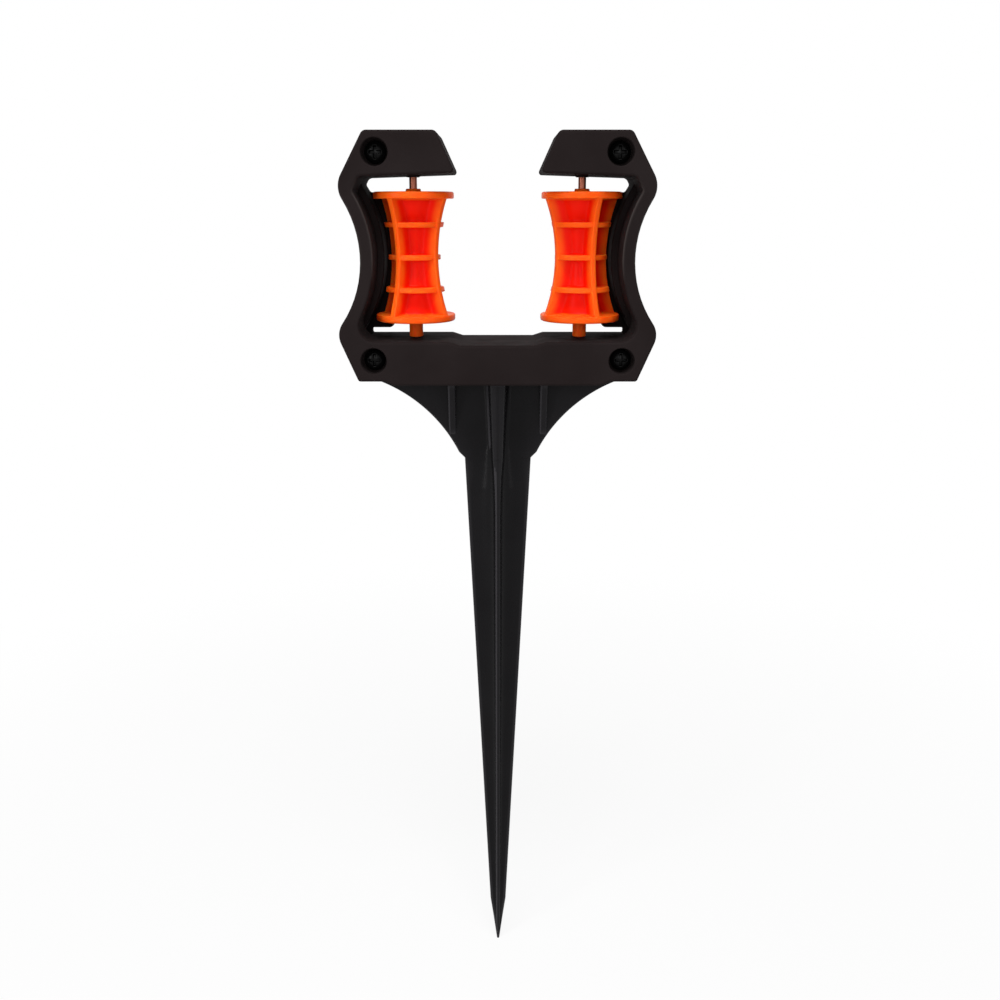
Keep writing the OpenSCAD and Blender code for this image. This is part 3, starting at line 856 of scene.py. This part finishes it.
# Front half of the head: a moulding in the same black plastic, with thinner side walls and four round
# sinkings in its face. It traps the axles and the stake's web, and the screws pull it to the rear half.
front_lower_turn = np.radians(25.0)
front_seat_r = 6.0
sink_r = 5.0
sink_depth = 5.2
sink_edge = 0.4
hole_r = 1.85
hole_end_y = -1.0
upper_screw = (45.2, 117.85)
lower_screw = (47.8, 41.1)
screw_places = {
    "screw_upper_left": (-upper_screw[0], upper_screw[1]),
    "screw_upper_right": upper_screw,
    "screw_lower_left": (-lower_screw[0], lower_screw[1]),
    "screw_lower_right": lower_screw,
}
sink_cols = 64
sink_turn = np.linspace(0, 2 * np.pi, sink_cols, endpoint=False)
sink_round = np.radians(np.linspace(0, 90, 5))
floor_y = sink_depth - half_depth
sink_profile_r = np.concatenate([
    sink_r + sink_edge * (1 - np.sin(sink_round)),
    sink_r - sink_edge * (1 - np.cos(sink_round)), [hole_r, hole_r],
])
sink_profile_y = np.concatenate([
    sink_edge * (1 - np.cos(sink_round)) - half_depth,
    floor_y - sink_edge * (1 - np.sin(sink_round)), [floor_y, hole_end_y],
])


def sinking(place):
    """A round sinking with a screw hole: its profile of radii and depths goes round the screw's axis,
    and a flat end closes the hole. Returns its shell and the loop of its rim."""
    across = place[0] + sink_profile_r[:, None] * np.cos(sink_turn)
    up = place[1] + sink_profile_r[:, None] * np.sin(sink_turn)
    points = np.dstack([across, np.broadcast_to(sink_profile_y[:, None], across.shape), up])
    end = np.arange(sink_cols)[None, :] + (len(sink_profile_r) - 1) * sink_cols
    shell = (points.reshape(-1, 3), [(skin(*across.shape, close_cols=True), True), (end, False)])
    return shell, np.column_stack([across[0], up[0]])


front_r = waist_r + side_wall
front_side = side_corners(inner_flanks, side_wall, front_r, inner_turns[0], front_lower_turn)
front_inner = [front_side["upper"], front_side["waist"], front_side["waist_on_seat"]]
front_loop = head_loop(front_inner, [shoulder_r - side_wall, front_r, front_seat_r])
sinkings = [sinking(place) for place in screw_places.values()]
front_shells = slab_shells(
    front_loop, np.append(round_inset, [0, seam]), np.append(round_depth, [-seam, -parting]),
    [rim for _, rim in sinkings],
)
front_shells += [shell for shell, _ in sinkings] + [lip_shell(-axle_x), lip_shell(axle_x)]
front_frame = put_together("front_half", front_shells, frame_plastic)
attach(front_frame, "head")
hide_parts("front_frame")


# Screws: four black pan-head self-tapping screws with cross recesses. They go in from the front, sit
# on the floor of the sinkings and cut their threads into the rear half.
screw_head_r = 4.1
screw_head_h = 2.7
rim_h = 0.9
cross_half = 0.52
cross_len = 2.3
cross_depth = 1.5
cross_slope = 0.16
cross_fade = 0.7
shank_r = 1.75
thread_h = 0.35
thread_pitch = 1.4
thread_half = 0.28
thread_start = 1.5
thread_run = 1.0
screw_end_y = 11.5
screw_tip = 1.5


def screw_shell(place):
    """A screw as one grid round its axis: the domed head less a cross-shaped recess with sloping
    walls, then the rim, the flat underside, and a shank whose radius rises in a spiral ridge."""
    cols = 96
    turn = np.linspace(0, 2 * np.pi, cols, endpoint=False)
    dome_r = (screw_head_r ** 2 + (screw_head_h - rim_h) ** 2) / (2 * (screw_head_h - rim_h))
    head_rho = np.concatenate([np.linspace(0.1, 2.9, 29), [3.2, 3.5, 3.75, 3.92]])
    across = head_rho[:, None] * np.cos(turn)
    up = head_rho[:, None] * np.sin(turn)
    wing = [
        np.clip((cross_half - np.abs(b)) / cross_slope + 0.5, 0, 1)
        * np.clip((cross_len - np.abs(a)) / cross_fade + 0.3, 0, 1)
        for a, b in ((across, up), (up, across))
    ]
    dome = np.sqrt(dome_r ** 2 - head_rho ** 2) - dome_r + screw_head_h
    head_y = floor_y - dome[:, None] + cross_depth * np.maximum(*wing)
    rim_rho = np.array([4.05, screw_head_r, screw_head_r, 3.95, shank_r])
    rim_y = floor_y - np.array([rim_h - 0.06, rim_h - 0.25, 0.15, 0.0, 0.0])
    shank_y = np.linspace(floor_y + 0.05, screw_end_y - screw_tip, 170)
    winding = (shank_y[:, None] / thread_pitch - turn / (2 * np.pi)) % 1
    ridge = np.clip(1 - np.abs(winding - 0.5) / thread_half, 0, 1)
    start = np.clip((shank_y - floor_y - thread_start) / thread_run, 0, 1)[:, None]
    shank_rho = shank_r - thread_h * start * (1 - ridge)
    plain = np.ones(cols)
    rho = np.vstack([
        head_rho[:, None] * plain, rim_rho[:, None] * plain, shank_rho,
        np.array([[0.9], [0.25]]) * plain,
    ])
    y = np.vstack([
        head_y, rim_y[:, None] * plain, shank_y[:, None] * plain,
        np.array([[screw_end_y - 0.9], [screw_end_y]]) * plain,
    ])
    points = np.dstack([place[0] + rho * np.cos(turn), y, place[1] + rho * np.sin(turn)])
    around = np.arange(cols)[None, :]
    return (
        points.reshape(-1, 3),
        [
            (skin(*rho.shape, close_cols=True)[:, ::-1], True),
            (around, True),
            (around[:, ::-1] + (len(rho) - 1) * cols, False),
        ],
    )


screw_black = moulded_plastic(
    "screw_black_oxide", deep=(0.0012, 0.0012, 0.0012), pale=(0.002, 0.002, 0.0021),
    specular=0.08, rough=(0.24, 0.36), grain=0.05,
)
for screw_name, place in screw_places.items():
    screw = put_together(screw_name.replace("screw", "pan_head"), [screw_shell(place)], screw_black)
    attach(screw, "head")
    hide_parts(screw_name)


# Studio: a plain pale floor under the spike's point, soft light from a large panel above with weaker
# ones in front and at the sides, a white surround, and a camera in front that looks a little down.
floor_half = 4.0
floor_fade_from = 0.25
floor_fade_to = 0.6
floor_glow_near = 0.88
camera_place = (0.0009, -0.418, 0.0991)
camera_tilt = 15.84


def pale_surround(tree, output, own):
    """Mixes a plain white glow into a shader for the rays that see it straight or by reflection, so
    that the surround is white there, and leaves the light that falls on the object to the shader.
    Returns the socket for the share of the glow."""
    seen = tree.nodes.new("ShaderNodeLightPath")
    straight = tree.nodes.new("ShaderNodeMath")
    straight.operation = "MAXIMUM"
    either = tree.nodes.new("ShaderNodeMath")
    either.operation = "MAXIMUM"
    amount = tree.nodes.new("ShaderNodeMath")
    amount.operation = "MULTIPLY"
    amount.inputs[1].default_value = 1.0
    mix = tree.nodes.new("ShaderNodeMixShader")
    kind = "ShaderNodeBackground" if output.bl_idname == "ShaderNodeOutputWorld" else "ShaderNodeEmission"
    glow = tree.nodes.new(kind)
    glow.inputs["Color"].default_value = (1.0, 1.0, 1.0, 1.0)
    glow.inputs["Strength"].default_value = 1.0
    tree.links.new(seen.outputs["Is Camera Ray"], straight.inputs[0])
    tree.links.new(seen.outputs["Is Glossy Ray"], straight.inputs[1])
    tree.links.new(straight.outputs[0], either.inputs[0])
    tree.links.new(seen.outputs["Is Transmission Ray"], either.inputs[1])
    tree.links.new(either.outputs[0], amount.inputs[0])
    tree.links.new(amount.outputs[0], mix.inputs["Fac"])
    tree.links.new(own, mix.inputs[1])
    tree.links.new(glow.outputs[0], mix.inputs[2])
    tree.links.new(mix.outputs[0], output.inputs["Surface"])
    return amount.inputs[1]


floor_mesh = bpy.data.meshes.new("studio_floor")
floor_corners = np.array([(-1, -1), (1, -1), (1, 1), (-1, 1)]) * floor_half
floor_mesh.from_pydata(
    np.column_stack([floor_corners, np.full(4, -spike_len * MM)]).tolist(), [], [(0, 1, 2, 3)]
)
floor_paint = bpy.data.materials.new("floor_paint")
floor_paint.use_nodes = True
floor_tree = floor_paint.node_tree
floor_shader = floor_tree.nodes["Principled BSDF"]
floor_shader.inputs["Base Color"].default_value = (0.88, 0.88, 0.88, 1.0)
floor_shader.inputs["Roughness"].default_value = 0.9
floor_shader.inputs["Specular IOR Level"].default_value = 0.1
floor_glow = pale_surround(floor_tree, floor_tree.nodes["Material Output"], floor_shader.outputs[0])
floor_place = floor_tree.nodes.new("ShaderNodeTexCoord")
floor_away = floor_tree.nodes.new("ShaderNodeVectorMath")
floor_away.operation = "LENGTH"
floor_fade = floor_tree.nodes.new("ShaderNodeMapRange")
floor_fade.interpolation_type = "SMOOTHSTEP"
floor_fade.inputs["From Min"].default_value = floor_fade_from
floor_fade.inputs["From Max"].default_value = floor_fade_to
floor_fade.inputs["To Min"].default_value = floor_glow_near
floor_fade.inputs["To Max"].default_value = 1.0
floor_tree.links.new(floor_place.outputs["Object"], floor_away.inputs[0])
floor_tree.links.new(floor_away.outputs["Value"], floor_fade.inputs["Value"])
floor_tree.links.new(floor_fade.outputs["Result"], floor_glow)
floor_mesh.materials.append(floor_paint)
floor = bpy.data.objects.new("studio_floor", floor_mesh)
bpy.context.scene.collection.objects.link(floor)

world = bpy.data.worlds.new("studio")
world.use_nodes = True
bpy.context.scene.world = world
ambient = world.node_tree.nodes["Background"]
ambient.inputs["Color"].default_value = (1.0, 1.0, 1.0, 1.0)
ambient.inputs["Strength"].default_value = 0.2
pale_surround(world.node_tree, world.node_tree.nodes["World Output"], ambient.outputs[0])


def soft_panel(name, place, aim, width, height, power):
    """A rectangular light at a place, turned so that it shines at a point."""
    lamp = bpy.data.lights.new(name, "AREA")
    lamp.shape = "RECTANGLE"
    lamp.size = width
    lamp.size_y = height
    lamp.energy = power
    panel = bpy.data.objects.new(name, lamp)
    panel.location = place
    panel.rotation_euler = (Vector(aim) - Vector(place)).to_track_quat("-Z", "Y").to_euler()
    bpy.context.scene.collection.objects.link(panel)


middle = (0.0, 0.0, 0.06)
soft_panel("key_panel", (-0.05, -0.55, 1.15), middle, width=0.7, height=0.5, power=13.5)
soft_panel("front_panel", (0.0, -1.1, 0.3), middle, width=0.4, height=0.4, power=2.4)
soft_panel("left_panel", (-0.85, -0.85, 0.3), middle, width=0.25, height=1.0, power=5.4)
soft_panel("right_panel", (0.85, -0.85, 0.3), middle, width=0.25, height=1.0, power=2.0)

camera_data = bpy.data.cameras.new("camera")
camera_data.lens = 37.44
camera_data.sensor_width = 36.0
camera_data.clip_start = 0.01
camera = bpy.data.objects.new("camera", camera_data)
camera.location = camera_place
camera.rotation_euler = (np.radians(90 - camera_tilt), 0.0, 0.0)
bpy.context.scene.collection.objects.link(camera)
bpy.context.scene.camera = camera
bpy.context.scene.view_settings.view_transform = "Standard"
